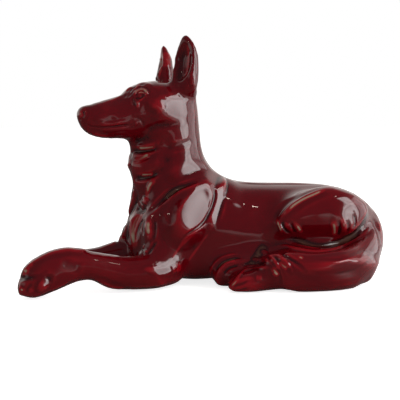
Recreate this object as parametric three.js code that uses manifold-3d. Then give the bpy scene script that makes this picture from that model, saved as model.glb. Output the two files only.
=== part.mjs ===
// A glazed earthenware shepherd dog, lying down with its head up: the separate clay castings that are luted
// together before firing. Millimetres, +Z up. The dog faces -X and its left side is towards -Y.
import * as THREE from 'three';
import Module from 'manifold-3d';

const wasm = await Module();
wasm.setup();

// Driving dimensions
const castingWall = 6;
const joint = 0.3; // slip line between two castings
const neckWall = 7;

const backHeight = 96; // top of the loins above the ground
const withersHeight = 108;
const bellyRise = 3; // clearance under the ribs behind the elbows
const seat = 1.5; // depth cut off the rear underside to give the flat that the figure stands on
const bellyCorner = 4; // how square the underside is: 2 is an ellipse
const chestFront = -57;
const rumpEnd = 168;
const loinHalfWidth = 46;
const hipHalfWidth = 50;

const neckHalfWidth = 27;
const neckRoot = 82; // height of the neck's lowest section, inside the withers
const throatHeight = 141;
const napeX = 0;

const skullX = -36; // the upright axis that the head turns on
const skullMiddle = 173; // height of the widest line of the skull
const skullTop = 198;
const jawBottom = 143;
const skullHalfWidth = 28;
const noseReach = 83; // from the upright axis to the nose, without its round end
const headTurn = 17; // degrees, towards the dog's left
const headRoll = -7; // degrees, the left ear is the higher one

const earTip = 241;
const earHalfWidth = 13.5;
const earSpread = 25; // each ear's distance from the middle of the head
const earBack = 14; // behind the upright axis
const earFacing = 22; // degrees, how far each ear's hollow faces outwards

const elbowX = -36;
const leftLegY = -43;
const leftLegSplay = 24; // how much further out the left paw lies than its elbow
const rightLegY = 40;
const rightArmForward = 14; // the right upper arm reaches further forward than the left one
const forearmHalf = 17;
const wristHalf = 14;
const leftPawX = -170;
const rightPawX = -160;

const hipHeight = 68;
const kneeX = 66;
const leftHipY = 11 - hipHalfWidth; // the middle of the left thigh, 11 in from the side of the trunk
const rightHipY = hipHalfWidth - 12;

const tailHalfHeight = 20;
const tailHalfWidth = 14;
const tailLineY = -80; // how far out the tail lies along the base
const tailTipX = 50;

const footHeight = 21;
const shankHalfHeight = 19;
const leftToeX = 17;
const rightToeX = 8;
const rightFootY = 4 - hipHalfWidth;

const pourHoleRadius = 12;
const pourHoleX = 76;

const glaze = { color: 0x5c0f17, roughness: 0.08, metalness: 0 };

// Closed body through elliptical stations. A station is [x, y, z, half width, rise, fall]: the rise and the fall are
// measured along the loft's own upright direction, so the two halves of a section may differ. The lower half is an
// ellipse at a corner of 2, and squarer above that.
function loft(stations, { upright = [0, 0, 1], sides = 18, steps = 2, ends = [6, 6], corner = 2, grow = 0 } = {}) {
  const up = new THREE.Vector3(...upright).normalize();
  const curve = new THREE.CatmullRomCurve3(stations.map((s) => new THREE.Vector3(s[0], s[1], s[2])));
  curve.curveType = 'catmullrom';
  const spans = stations.length - 1;
  const between = (column, u) => {
    const place = Math.min(u * spans, spans - 1e-9);
    const k = Math.floor(place);
    const t = place - k;
    const [a, b, c, d] = [k - 1, k, k + 1, k + 2].map((i) => stations[Math.max(0, Math.min(spans, i))][column]);
    const bend = (2 * a - 5 * b + 4 * c - d) * t * t + (3 * b - a - 3 * c + d) * t * t * t;
    return b + 0.5 * ((c - a) * t + bend);
  };
  const rings = [];
  const capSteps = 3;
  const ring = (u, shift, shrink) => {
    const tangent = curve.getTangent(u);
    const side = new THREE.Vector3().crossVectors(up, tangent).normalize();
    const rise = new THREE.Vector3().crossVectors(tangent, side).normalize();
    const centre = curve.getPoint(u).addScaledVector(tangent, shift);
    const size = [3, 4, 5].map((column) => (between(column, u) + grow) * shrink);
    rings.push({ centre, side, rise, size });
  };
  const endShift = (k, length) => Math.max(length + grow, 0) * Math.sin((k * Math.PI) / 2 / capSteps);
  const endShrink = (k) => Math.cos((k * Math.PI) / 2 / capSteps);
  for (let k = capSteps - 1; k > 0; k -= 1) ring(0, -endShift(k, ends[0]), endShrink(k));
  for (let i = 0; i <= spans * steps; i += 1) ring(i / (spans * steps), 0, 1);
  for (let k = 1; k < capSteps; k += 1) ring(1, endShift(k, ends[1]), endShrink(k));

  const points = [];
  for (const { centre, side, rise, size } of rings) {
    for (let j = 0; j < sides; j += 1) {
      const angle = (j * 2 * Math.PI) / sides;
      const [across, along] = [Math.cos(angle), Math.sin(angle)];
      const power = along < 0 ? 2 / corner : 1;
      const wide = Math.sign(across) * Math.abs(across) ** power * size[0];
      const high = along > 0 ? along * size[1] : -(Math.abs(along) ** power) * size[2];
      points.push(centre.clone().addScaledVector(side, wide).addScaledVector(rise, high));
    }
  }
  const first = curve.getPoint(0).addScaledVector(curve.getTangent(0), -endShift(capSteps, ends[0]));
  const last = curve.getPoint(1).addScaledVector(curve.getTangent(1), endShift(capSteps, ends[1]));
  const firstPole = points.push(first) - 1;
  const lastPole = points.push(last) - 1;
  const index = [];
  const lastRing = (rings.length - 1) * sides;
  for (let j = 0; j < sides; j += 1) {
    const next = (j + 1) % sides;
    index.push(firstPole, next, j, lastPole, lastRing + j, lastRing + next);
    for (let i = 0; i < lastRing; i += sides) {
      index.push(i + j, i + next, i + sides + j, i + next, i + sides + next, i + sides + j);
    }
  }
  return outward(points, index);
}

// Solid from points and triangles, turned so that its faces point out
function outward(points, index) {
  let volume = 0;
  for (let i = 0; i < index.length; i += 3) {
    volume += points[index[i]].dot(new THREE.Vector3().crossVectors(points[index[i + 1]], points[index[i + 2]]));
  }
  const triVerts = Uint32Array.from(volume > 0 ? index : index.toReversed());
  const vertProperties = Float32Array.from(points.flatMap((p) => [p.x, p.y, p.z]));
  return new wasm.Manifold(new wasm.Mesh({ numProp: 3, vertProperties, triVerts }));
}

// Solid from a closed three.js geometry without doubled vertices
function solidOf(geometry) {
  const flat = geometry.index ? geometry.toNonIndexed() : geometry;
  const places = flat.attributes.position;
  const points = [];
  const seen = new Map();
  const index = [];
  for (let i = 0; i < places.count; i += 1) {
    const point = new THREE.Vector3().fromBufferAttribute(places, i);
    const key = point.toArray().map((v) => v.toFixed(4)).join();
    if (!seen.has(key)) seen.set(key, points.push(point) - 1);
    index.push(seen.get(key));
  }
  return outward(points, index);
}

const join = (first, ...others) => others.reduce((whole, other) => whole.add(other), first);
const cut = (piece, ...others) => others.reduce((rest, other) => rest.subtract(other), piece);

// Flat slab, wider than the whole figure, from one height to another
const slabWidth = 3 * (rumpEnd - leftPawX);
const slab = (bottom, top) => solidOf(
  new THREE.BoxGeometry(slabWidth, slabWidth, top - bottom).translate(0, 0, (bottom + top) / 2),
);
const ground = slab(-backHeight, 0);

// Trunk from the breast to the rump, without the shoulders
function barrel(grow, options) {
  const waistX = (chestFront + rumpEnd) / 2;
  return loft([
    [chestFront, 0, 72, 24, 26, 26],
    [chestFront + 14, 0, 62, 36, 42, 50],
    [chestFront + 34, 0, 56, 42, 50, 52],
    [8, 0, 54, loinHalfWidth - 1, withersHeight - 54, 54 - bellyRise],
    [34, 0, 50, loinHalfWidth - 1, backHeight - 48, 50 - bellyRise],
    [waistX + 6, 0, 48, loinHalfWidth, backHeight - 48, 48 + seat],
    [106, 0, 46, hipHalfWidth - 1, backHeight - 47, 46 + seat],
    [134, 0, 44, hipHalfWidth, backHeight - 46, 44 + seat],
    [rumpEnd - 16, 0, 38, hipHalfWidth - 5, 49, 38 + seat],
    [rumpEnd, 0, 32, 34, 40, 32],
  ], { sides: 28, ends: [9, 10], corner: bellyCorner, grow, ...options });
}

// Shoulder blade, shoulder point and upper arm of one side (-1 left, 1 right). The arm may reach further forward.
function shoulder(side, grow, forward = 0) {
  const blade = loft([
    [0, side * 29, 96, 10, 12, 12],
    [-10, side * 37, 84, 11, 17, 17],
    [-22, side * 39, 66, 12, 20, 20],
    [-32, side * 38, 48, 11, 14, 14],
  ], { upright: [-1, 0, 0], sides: 14, ends: [8, 8], grow });
  const arm = loft([
    [-34, side * 24, 84, 11, 15, 15],
    [-41 - forward / 5, side * 30, 64, 13, 20, 20],
    [-42 - forward * 0.7, side * 36, 44, 13, 20, 21],
    [elbowX - 4 - forward, side * 40, 27, 13, 17, 17],
  ], { upright: [-1, 0, 0], sides: 14, ends: [8, 10], grow });
  return join(blade, arm);
}

const trunkForm = (grow = 0) => cut(join(barrel(grow), shoulder(-1, grow), shoulder(1, grow, rightArmForward)), ground);

// Neck, from inside the withers up to the back of the skull
function neckLoft(grow, options) {
  const low = (share) => neckRoot + share * (throatHeight - neckRoot);
  const high = (share) => throatHeight + share * (skullMiddle - throatHeight);
  return loft([
    [-18, 0, low(0), 38, 44, 40],
    [-24, 0, low(0.31), 34, 44, 39],
    [-29, 0, low(0.6), neckHalfWidth + 2, 44, 33],
    [-33, 0, low(0.89), neckHalfWidth, 38, 33 + napeX],
    [-35, 0, high(0.38), neckHalfWidth, 33, 33],
    [skullX, 0, high(0.94), neckHalfWidth - 1, 29, 32],
    [skullX, 0, high(1.28), neckHalfWidth - 5, 24, 28],
  ], { upright: [-1, 0, 0], sides: 22, ends: [4, 10], grow, ...options });
}

// Places a form that is made about the skull's upright axis, facing -X
function turned(form) {
  return form
    .translate([0, 0, -skullMiddle])
    .rotate([headRoll, 0, 0])
    .rotate([0, 0, headTurn])
    .translate([skullX, 0, skullMiddle]);
}

// Skull and muzzle about the upright axis
function headLoft(grow) {
  const top = skullTop - skullMiddle;
  const bottom = skullMiddle - jawBottom;
  return loft([
    [22, 0, skullMiddle, 18, 16, 20],
    [8, 0, skullMiddle, skullHalfWidth - 1, top - 2, bottom - 2],
    [-10, 0, skullMiddle, skullHalfWidth + 1, top, bottom],
    [-25, 0, skullMiddle - 2, skullHalfWidth - 2, top - 1, bottom - 2],
    [-36, 0, skullMiddle - 6, 21, top - 5, bottom - 5],
    [-46, 0, skullMiddle - 9, 17.5, top - 8, bottom - 7],
    [-60, 0, skullMiddle - 10, 15.5, top - 9.5, bottom - 9],
    [10 - noseReach, 0, skullMiddle - 11, 13, top - 11, bottom - 14],
    [-noseReach, 0, skullMiddle - 11, 10.5, top - 14, bottom - 18],
  ], { sides: 24, ends: [8, 5], grow });
}

const headForm = (grow = 0) => join(neckLoft(grow), turned(headLoft(grow)));

// One ear (-1 left, 1 right), rooted in the skull
function earForm(side, grow = 0) {
  const facing = THREE.MathUtils.degToRad(earFacing);
  const upright = [-Math.cos(facing), side * Math.sin(facing), 0];
  const y = side * earSpread;
  const root = skullTop - 14;
  const height = (share) => root + share * (earTip - root);
  const shell = loft([
    [earBack - 2, y - side * 5, height(0), earHalfWidth - 1, 9, 9],
    [earBack, y - side * 2, height(0.23), earHalfWidth, 8, 9.5],
    [earBack + 1, y, height(0.47), earHalfWidth - 0.5, 6.5, 9],
    [earBack + 1, y + side, height(0.72), earHalfWidth - 3.5, 4.5, 7],
    [earBack, y + side, height(0.91), earHalfWidth - 8.5, 2.5, 4],
  ], { upright, sides: 16, ends: [3, 4], grow });
  if (grow) return turned(shell);
  const lean = 5.5; // the hollow's middle lies this far in front of the ear's own
  const front = (x, ySide, z, ...size) => [x + upright[0] * lean, ySide + upright[1] * lean, z, ...size];
  const hollow = loft([
    front(earBack, y - side * 2, height(0.23), 5, 5, 4),
    front(earBack + 1, y, height(0.44), earHalfWidth - 4.5, 9, 6.5),
    front(earBack + 1, y + side, height(0.7), earHalfWidth - 6.5, 8, 6),
    front(earBack, y + side, height(0.86), 3, 5, 3.5),
  ], { upright, sides: 12, ends: [3, 2] });
  return turned(cut(shell, hollow));
}

function leftForelegForm(grow = 0) {
  const out = (share) => leftLegY - leftLegSplay * share;
  return loft([
    [elbowX + 8, leftLegY + 4, 14, 10, 11, 12],
    [elbowX - 8, out(0), 18, forearmHalf, forearmHalf + 1, forearmHalf + 1],
    [elbowX - 38, out(0.2), 17, forearmHalf - 0.5, forearmHalf - 1, forearmHalf],
    [elbowX - 58, out(0.35), 21, 15, 15, 13],
    [elbowX - 76, out(0.5), 27, wristHalf, wristHalf - 1, wristHalf - 1],
    [elbowX - 94, out(0.65), 28, wristHalf, wristHalf + 1, wristHalf + 3],
    [leftPawX + 22, out(0.85), 22, wristHalf + 2, wristHalf + 4, 19],
    [leftPawX + 8, out(0.97), 15, wristHalf + 2, wristHalf + 1, 15],
    [leftPawX, out(1), 11, wristHalf - 1, 11, 11],
  ], { ends: [6, 6], grow });
}

function rightForelegForm(grow = 0) {
  const armX = elbowX - rightArmForward;
  const into = (share) => rightLegY - 10 * share;
  return loft([
    [elbowX + 8, rightLegY, 14, 11, 12, 12],
    [elbowX - 10, into(0), 19, forearmHalf - 1, forearmHalf + 2, forearmHalf + 2],
    [armX - 24, into(0.2), 17, 15, forearmHalf, forearmHalf],
    [armX - 50, into(0.4), 15, 14, 14, 15],
    [armX - 76, into(0.6), 13, 13, 12, 13],
    [rightPawX + 14, into(0.9), 11, wristHalf, 11, 11],
    [rightPawX, into(1), 9, wristHalf - 2, 9, 9],
  ], { ends: [6, 6], grow });
}

function leftHaunchForm(grow = 0) {
  return loft([
    [kneeX, leftHipY - 4, hipHeight - 12, 10, 10, 9],
    [kneeX + 10, leftHipY - 2, hipHeight - 8, 15, 17, 14],
    [kneeX + 30, leftHipY, hipHeight - 2, 19, 24, 22],
    [kneeX + 52, leftHipY, hipHeight + 1, 21, 27, 27],
    [kneeX + 74, leftHipY, hipHeight + 1, 19, 25, 26],
    [kneeX + 90, leftHipY + 2, hipHeight - 1, 12, 15, 16],
  ], { ends: [4, 6], grow });
}

function rightHaunchForm(grow = 0) {
  return loft([
    [kneeX, rightHipY, 34, 12, 14, 22],
    [kneeX + 22, rightHipY + 1, 40, 18, 26, 38],
    [kneeX + 52, rightHipY + 1, 42, 20, 32, 42],
    [kneeX + 84, rightHipY - 2, 38, 16, 26, 36],
  ], { ends: [8, 8], grow });
}

function tailForm(grow = 0) {
  const half = tailHalfHeight;
  const y = tailLineY;
  return loft([
    [rumpEnd - 22, 14, 68, 7, 10, 10],
    [rumpEnd - 2, 0, 58, 10, 16, 16],
    [rumpEnd + 1, -24, 43, 12, half, half],
    [rumpEnd - 7, -46, 30, tailHalfWidth - 1, half + 1, half + 1],
    [rumpEnd - 26, y + 15, 22, tailHalfWidth, half, half + 2],
    [122, y + 3, 19.5, tailHalfWidth, half, half],
    [94, y, 18.5, tailHalfWidth - 1, half - 1, half - 1],
    [tailTipX + 18, y + 2, 20, tailHalfWidth - 2, half - 1, half - 1],
    [tailTipX, y + 6, 26, 8, 12, 14],
  ], { ends: [5, 5], grow });
}

// Left hind foot, with the folded shank that runs back under the thigh, inside the tail
function leftFootForm(grow = 0) {
  const half = footHeight / 2;
  const foot = loft([
    [leftToeX + 47, tailLineY + 14, half + 2, 12, half + 2, half + 2],
    [leftToeX + 27, tailLineY + 10, half, 14, half, half],
    [leftToeX + 11, tailLineY + 9, half - 1, 13, half - 1, half - 1],
    [leftToeX, tailLineY + 8, 7, 9, 7, 7],
  ], { sides: 16, ends: [6, 4], grow });
  const shank = loft([
    [leftToeX + 38, tailLineY + 22, 15, 13, 14, 15],
    [leftToeX + 66, tailLineY + 26, shankHalfHeight + 2, 15, shankHalfHeight, shankHalfHeight + 2],
    [leftToeX + 102, tailLineY + 30, shankHalfHeight + 3, 15, shankHalfHeight + 1, shankHalfHeight + 3],
    [leftToeX + 132, tailLineY + 38, shankHalfHeight + 2, 12, shankHalfHeight - 2, shankHalfHeight + 2],
  ], { sides: 16, ends: [6, 6], grow });
  return join(foot, shank);
}

function rightFootForm(grow = 0) {
  return loft([
    [rightToeX + 48, rightFootY, 18, 14, 14, 18],
    [rightToeX + 27, rightFootY, 17, 16, 15, 17],
    [rightToeX + 11, rightFootY, 15, 15, 15, 15],
    [rightToeX, rightFootY + 1, 12, 11, 11, 12],
  ], { sides: 16, ends: [6, 5], grow });
}

// The hollow of the trunk, the bore up the neck, and the pour hole in the base
const aboveFloor = slab(castingWall, 2 * backHeight);
const trunkHollow = barrel(-castingWall, { sides: 16 }).intersect(aboveFloor);
const neckHollow = neckLoft(-neckWall, { sides: 12, ends: [0, 0] });
const pourHole = solidOf(new THREE.CylinderGeometry(pourHoleRadius, pourHoleRadius, 6 * castingWall, 24)
  .rotateX(Math.PI / 2).translate(pourHoleX, 0, 0));

// Each casting is cut to the surface of those that it is luted to, less the slip line
const castings = {
  trunk: cut(trunkForm(), trunkHollow, neckHollow, pourHole),
  head_and_neck: cut(headForm(), trunkForm(joint), neckHollow),
  left_ear: cut(earForm(-1), headForm(joint)),
  right_ear: cut(earForm(1), headForm(joint)),
  left_foreleg: cut(leftForelegForm(), trunkForm(joint), ground),
  right_foreleg: cut(rightForelegForm(), trunkForm(joint), ground),
  left_haunch: cut(leftHaunchForm(), trunkForm(joint), ground),
  right_haunch: cut(rightHaunchForm(), trunkForm(joint), ground),
  tail: cut(tailForm(), trunkForm(joint), leftHaunchForm(joint), ground),
  left_hind_foot: cut(leftFootForm(), trunkForm(joint), tailForm(joint), leftHaunchForm(joint), ground),
  right_hind_foot: cut(
    rightFootForm(), trunkForm(joint), tailForm(joint), leftHaunchForm(joint), leftFootForm(joint), ground,
  ),
};

const dog = new THREE.Group();
for (const [name, solid] of Object.entries(castings)) {
  const { vertProperties, triVerts } = solid.getMesh();
  const geometry = new THREE.BufferGeometry();
  geometry.setAttribute('position', new THREE.BufferAttribute(vertProperties, 3));
  geometry.setIndex(new THREE.BufferAttribute(triVerts, 1));
  geometry.computeVertexNormals();
  const mesh = new THREE.Mesh(geometry, new THREE.MeshStandardMaterial(glaze));
  mesh.name = name;
  dog.add(mesh);
}

// The origin is on the ground, under the middle of the figure
const box = new THREE.Box3().setFromObject(dog, true);
const middle = box.getCenter(new THREE.Vector3());
dog.position.set(-middle.x, -middle.y, 0);

export default dog;
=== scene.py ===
import bpy
import math
import numpy as np
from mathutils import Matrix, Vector


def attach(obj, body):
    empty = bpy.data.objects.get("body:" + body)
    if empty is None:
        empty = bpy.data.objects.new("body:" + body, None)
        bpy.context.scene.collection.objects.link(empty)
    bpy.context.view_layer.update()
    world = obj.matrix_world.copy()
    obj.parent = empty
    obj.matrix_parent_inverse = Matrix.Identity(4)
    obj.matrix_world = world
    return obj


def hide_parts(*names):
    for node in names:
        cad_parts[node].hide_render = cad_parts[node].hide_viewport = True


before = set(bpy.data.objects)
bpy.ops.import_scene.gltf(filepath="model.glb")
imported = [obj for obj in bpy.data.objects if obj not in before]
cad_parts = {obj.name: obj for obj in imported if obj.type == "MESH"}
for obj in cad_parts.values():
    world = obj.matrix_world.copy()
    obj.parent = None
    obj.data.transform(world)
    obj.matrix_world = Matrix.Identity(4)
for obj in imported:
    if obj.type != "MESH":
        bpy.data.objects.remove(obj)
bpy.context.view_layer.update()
mm = 0.001
midY = 17.0  # the dog's middle plane, in millimetres
print("frame loaded:", len(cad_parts), "castings")


# Camera

camera = {
    "target": (-3.9, 17.0, 80.0),  # millimetres
    "azimuth": -10.0,  # degrees, towards the dog's front
    "elevation": 5.7,
    "distance": 804.0,
    "focal": 800.0,  # pixels of the 400 pixel frame
    "frame": 400,
    "sensor": 36.0,
}


def towards(azimuth, elevation):  # degrees round from the dog's left side and up
    turn, lift = math.radians(azimuth), math.radians(elevation)
    return math.sin(turn) * math.cos(lift), -math.cos(turn) * math.cos(lift), math.sin(lift)


def makeCamera():
    away = Vector(towards(camera["azimuth"], camera["elevation"]))
    data = bpy.data.cameras.new("camera")
    data.sensor_width = camera["sensor"]
    data.lens = camera["focal"] / camera["frame"] * camera["sensor"]
    data.clip_end = 100
    eye = bpy.data.objects.new("camera", data)
    eye.location = (Vector(camera["target"]) + away * camera["distance"]) * mm
    eye.rotation_euler = (-away).to_track_quat("-Z", "Y").to_euler()
    bpy.context.scene.collection.objects.link(eye)
    bpy.context.scene.camera = eye
    bpy.context.view_layer.update()
    return eye


eye = makeCamera()
print("camera placed")


# Clay: the castings joined to one skin, which is then modelled like clay

skin = {
    "overlap": 0.3,  # closes the slip lines between the castings
    "grain": 2.0,  # size of the first mesh's squares
    "evenRounds": 16,
    "jointWidth": 9.0,  # how far from a joint the clay is smoothed over
    "jointRounds": 60,
    "earShare": 0.25,  # how much of that smoothing the thin ears get
    "plug": (72.1, 17.0, 13.0, 7.0),  # x, y, radius and height of the stopper in the pour hole
}
castings = list(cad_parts)


def choose(piece):
    bpy.ops.object.select_all(action="DESELECT")
    piece.select_set(True)
    bpy.context.view_layer.objects.active = piece


def applyModifier(piece, kind, **settings):
    choose(piece)
    modifier = piece.modifiers.new(kind.title(), kind)
    for name, value in settings.items():
        setattr(modifier, name, value)
    bpy.ops.object.modifier_apply(modifier=modifier.name)


def editMesh(piece, step):
    choose(piece)
    bpy.ops.object.mode_set(mode="EDIT")
    bpy.ops.mesh.select_all(action="SELECT")
    step()
    bpy.ops.object.mode_set(mode="OBJECT")


def editPoints(piece, chosen, step):
    choose(piece)
    bpy.ops.object.mode_set(mode="EDIT")
    bpy.ops.mesh.select_mode(type="VERT")
    bpy.ops.mesh.select_all(action="DESELECT")
    bpy.ops.object.mode_set(mode="OBJECT")
    piece.data.vertices.foreach_set("select", chosen)
    bpy.ops.object.mode_set(mode="EDIT")
    step()
    bpy.ops.object.mode_set(mode="OBJECT")


def copyCasting(name):
    copy = bpy.data.objects.new("clay_" + name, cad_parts[name].data.copy())
    bpy.context.scene.collection.objects.link(copy)
    copy.data.materials.clear()
    editMesh(copy, lambda: bpy.ops.mesh.remove_doubles(threshold=0.001 * mm))
    return copy


def joinCastings():
    copies = [copyCasting(name) for name in castings]
    for copy in copies:
        applyModifier(copy, "DISPLACE", strength=skin["overlap"] * mm, mid_level=0)
    x, y, radius, height = skin["plug"]
    bpy.ops.object.select_all(action="DESELECT")
    bpy.ops.mesh.primitive_cylinder_add(
        vertices=48, radius=radius * mm, depth=height * mm, location=(x * mm, y * mm, height / 2 * mm))
    plug = bpy.context.object
    bpy.ops.object.transform_apply(location=True, rotation=True, scale=True)
    for copy in copies:
        copy.select_set(True)
    bpy.ops.object.join()
    plug.name = "clay"
    applyModifier(plug, "REMESH", mode="VOXEL", voxel_size=skin["grain"] * mm)
    editMesh(plug, lambda: bpy.ops.mesh.separate(type="LOOSE"))
    parts = sorted(bpy.context.selected_objects, key=lambda part: len(part.data.vertices))
    for part in parts[:-1]:
        bpy.data.objects.remove(part)
    return parts[-1]


def sumsAround(a, b, values):  # sums over the other ends of the edges between points a and b
    return np.stack([
        np.bincount(a, values[b, k], len(values)) + np.bincount(b, values[a, k], len(values))
        for k in range(3)], axis=1)


def readAll(items, field, width=3, kind=float):
    values = np.empty(len(items) * width, dtype=kind)
    items.foreach_get(field, values)
    return values.reshape(-1, width)


class Clay:
    def __init__(self, piece):
        self.piece = piece
        self.read()

    def read(self):
        mesh = self.piece.data
        self.points = readAll(mesh.vertices, "co") / mm
        self.normals = readAll(mesh.vertices, "normal")
        self.edges = readAll(mesh.edges, "vertices", 2, np.int64)
        self.counts = np.bincount(self.edges.ravel(), minlength=len(self.points)).astype(float)
        self.tint = np.zeros(len(self.points))  # painted light from the strokes: painted shade above 0, painted highlight below, with the glaze's thickening and thinning

    def write(self):
        mesh = self.piece.data
        mesh.vertices.foreach_set("co", (self.points * mm).ravel())
        mesh.update()
        bpy.context.view_layer.update()
        self.normals = readAll(mesh.vertices, "normal")

    def around(self, values):  # mean of each point's neighbours
        return sumsAround(*self.edges.T, values) / self.counts[:, None]

    def relax(self, rounds, weight=1.0):
        weight = np.broadcast_to(weight, len(self.points))[:, None]
        for _ in range(rounds):
            self.points += 0.5 * weight * (self.around(self.points) - self.points)

    def refine(self):
        self.write()
        applyModifier(self.piece, "SUBSURF", levels=1, render_levels=1)
        self.read()

    def refineAround(self, spots):  # finer mesh inside balls, each (x, y, z, radius)
        self.write()
        chosen = np.zeros(len(self.points), dtype=bool)
        for *middle, radius in spots:
            chosen |= np.linalg.norm(self.points - np.array(middle), axis=1) < radius
        editPoints(self.piece, chosen,
                   lambda: bpy.ops.mesh.subdivide(number_cuts=1, smoothness=0, ngon=False))
        self.read()


def labelCastings(clay):
    copies = [copyCasting(name) for name in castings]
    bpy.context.view_layer.update()
    distances = np.empty((len(copies), len(clay.points)))
    for row, copy in enumerate(copies):
        closest = copy.closest_point_on_mesh
        for k, point in enumerate(clay.points * mm):
            distances[row, k] = (closest(point)[1] - Vector(point)).length
    for copy in copies:
        bpy.data.objects.remove(copy)
    return distances / mm


clayPiece = joinCastings()
clay = Clay(clayPiece)
print("clay joined:", len(clay.points), "points")
distances = labelCastings(clay)
owner = distances.argmin(axis=0)
print("castings marked")

ordered = np.sort(distances, axis=0)
nearJoint = np.exp(-((ordered[1] - ordered[0]) / skin["jointWidth"]) ** 2)
ears = np.isin(owner, [castings.index("left_ear"), castings.index("right_ear")])
weight = np.where(ears, skin["earShare"], 1.0)
clay.relax(skin["evenRounds"], weight)
clay.relax(skin["jointRounds"], weight * nearJoint)
clay.write()
print("skin evened")


# Division of the skin back into its castings

def markFaces(clay):
    mesh = clay.piece.data
    for name in castings:
        mesh.materials.append(bpy.data.materials.new("mark_" + name))
    faceOwner = []
    for polygon in mesh.polygons:
        votes = np.bincount(owner[list(polygon.vertices)], minlength=len(castings))
        faceOwner.append(int(votes.argmax()))
    mesh.polygons.foreach_set("material_index", faceOwner)
    mesh.update()


markFaces(clay)
clay.refine()
print("skin refined:", len(clay.points), "points")


# Modelling tools: lines drawn on the photograph's frame are laid on the clay, and raise or press it there

tools = {
    "tiltSpread": 2.6,  # how steep a tilt of 1 is
    "endHeight": 0.1,  # share of its height that a stroke keeps at its faded ends
    "planeDepth": 22.0,  # millimetres off its plane that a patch still reaches
    "planeTurn": 0.35,  # least cosine between the clay's facing and the plane's
}


def pixelRay(u, v):
    middle = camera["frame"] / 2
    direction = eye.matrix_world.to_3x3() @ Vector((u - middle, middle - v, -camera["focal"]))
    return eye.location.copy(), direction.normalized()


def onClay(u, v):  # the clay point behind a pixel, or the nearest one beside the outline
    start, direction = pixelRay(u, v)
    hit, place, normal, _ = clay.piece.ray_cast(start, direction)
    if not hit:
        depth = (Vector(camera["target"]) * mm - start).length
        _, place, normal, _ = clay.piece.closest_point_on_mesh(start + direction * depth)
    return np.array(place) / mm, np.array(normal)


def smoothPath(pixels, step=1.5):  # an even curve through given pixels
    points = np.array(pixels, dtype=float)
    if len(points) == 1:
        return points
    ends = np.vstack([2 * points[0] - points[1], points, 2 * points[-1] - points[-2]])
    out = []
    for a, b, c, d in zip(ends, ends[1:], ends[2:], ends[3:]):
        count = max(2, int(np.linalg.norm(c - b) / step))
        for t in np.arange(count) / count:
            bend = (2 * a - 5 * b + 4 * c - d) * t ** 2 + (3 * b - a - 3 * c + d) * t ** 3
            out.append(b + 0.5 * ((c - a) * t + bend))
    return np.array(out + [points[-1]])


bodyMirror = (np.array([0.0, midY, 0.0]), np.array([0.0, 1.0, 0.0]))
headSet = {"axis": (-39.9, 17.0, 173.0), "turn": 17.0, "roll": -7.0}  # as the castings have them


def headMirror():
    turn, roll = math.radians(headSet["turn"]), math.radians(headSet["roll"])
    across = np.array([-math.sin(turn) * math.cos(roll), math.cos(turn) * math.cos(roll), math.sin(roll)])
    return np.array(headSet["axis"]), across


def reflect(places, mirror):
    origin, across = mirror
    flipped = places - 2 * ((places - origin) @ across)[:, None] * across
    snapped = [clay.piece.closest_point_on_mesh(Vector(p * mm)) for p in flipped]
    return np.array([hit[1] for hit in snapped]) / mm, np.array([hit[2] for hit in snapped])


def press(places, facing, radius, height, tilt=0.0, fade=0.3, side=1.0, tint=False):
    places = np.asarray(places, dtype=float)
    if len(places) == 1:
        places, facing = np.repeat(places, 2, axis=0), np.repeat(facing, 2, axis=0)
    low, high = places.min(axis=0) - radius, places.max(axis=0) + radius
    near = np.nonzero(((clay.points > low) & (clay.points < high)).all(axis=1))[0]
    starts, spans = places[:-1], np.diff(places, axis=0)
    lengths = np.linalg.norm(spans, axis=1)
    walked = np.concatenate([[0], np.cumsum(lengths)])
    total = max(walked[-1], 1e-6)
    best = np.full(len(near), 1e9)
    segment = np.zeros(len(near), dtype=int)
    share = np.zeros(len(near))
    for k, (start, span) in enumerate(zip(starts, spans)):
        reach = clay.points[near] - start
        t = np.clip(reach @ span / max(span @ span, 1e-9), 0, 1)
        gap = np.linalg.norm(reach - t[:, None] * span, axis=1)
        closer = gap < best
        best[closer], segment[closer], share[closer] = gap[closer], k, t[closer]
    kept = (best < radius) & ((clay.normals[near] * facing[segment]).sum(axis=1) > 0.1)
    near, best, segment, share = near[kept], best[kept], segment[kept], share[kept]
    profile = (1 - (best / radius) ** 2) ** 2
    amount = height * profile
    if tilt:
        leftward = np.cross(facing[segment], spans[segment])
        leftward /= np.linalg.norm(leftward, axis=1)[:, None] + 1e-9
        foot = starts[segment] + share[:, None] * spans[segment]
        offset = ((clay.points[near] - foot) * leftward).sum(axis=1) / radius
        amount = amount + tilt * side * tools["tiltSpread"] * offset * profile
    if fade and total > 1e-3:
        along = (walked[segment] + share * lengths[segment]) / total
        ends = np.clip(np.minimum(along, 1 - along) / fade, 0, 1)
        amount = amount * (ends * ends * (3 - 2 * ends) * (1 - tools["endHeight"]) + tools["endHeight"])
    # painted light: the stroke goes into the glaze's tone instead of the clay's shape
    if tint:
        clay.tint[near] += amount
    else:
        clay.points[near] += clay.normals[near] * amount[:, None]


def draw(pixels, radius, height, mirror=None, **how):
    spots = [onClay(u, v) for u, v in smoothPath(pixels)]
    places, facing = np.array([s[0] for s in spots]), np.array([s[1] for s in spots])
    press(places, facing, radius, height, **how)
    if mirror:
        places, facing = reflect(places, mirror)
        press(places, facing, radius, height, side=-1.0, **how)


def pull(u, v, right, up, radius):  # moves the clay around a pixel, in millimetres
    place = onClay(u, v)[0]
    turn = np.array(eye.matrix_world.to_3x3())
    shift = turn[:, 0] * right + turn[:, 1] * up
    gap = np.linalg.norm(clay.points - place, axis=1) / radius
    near = gap < 1
    clay.points[near] += ((1 - gap[near] ** 2) ** 2)[:, None] * shift


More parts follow.
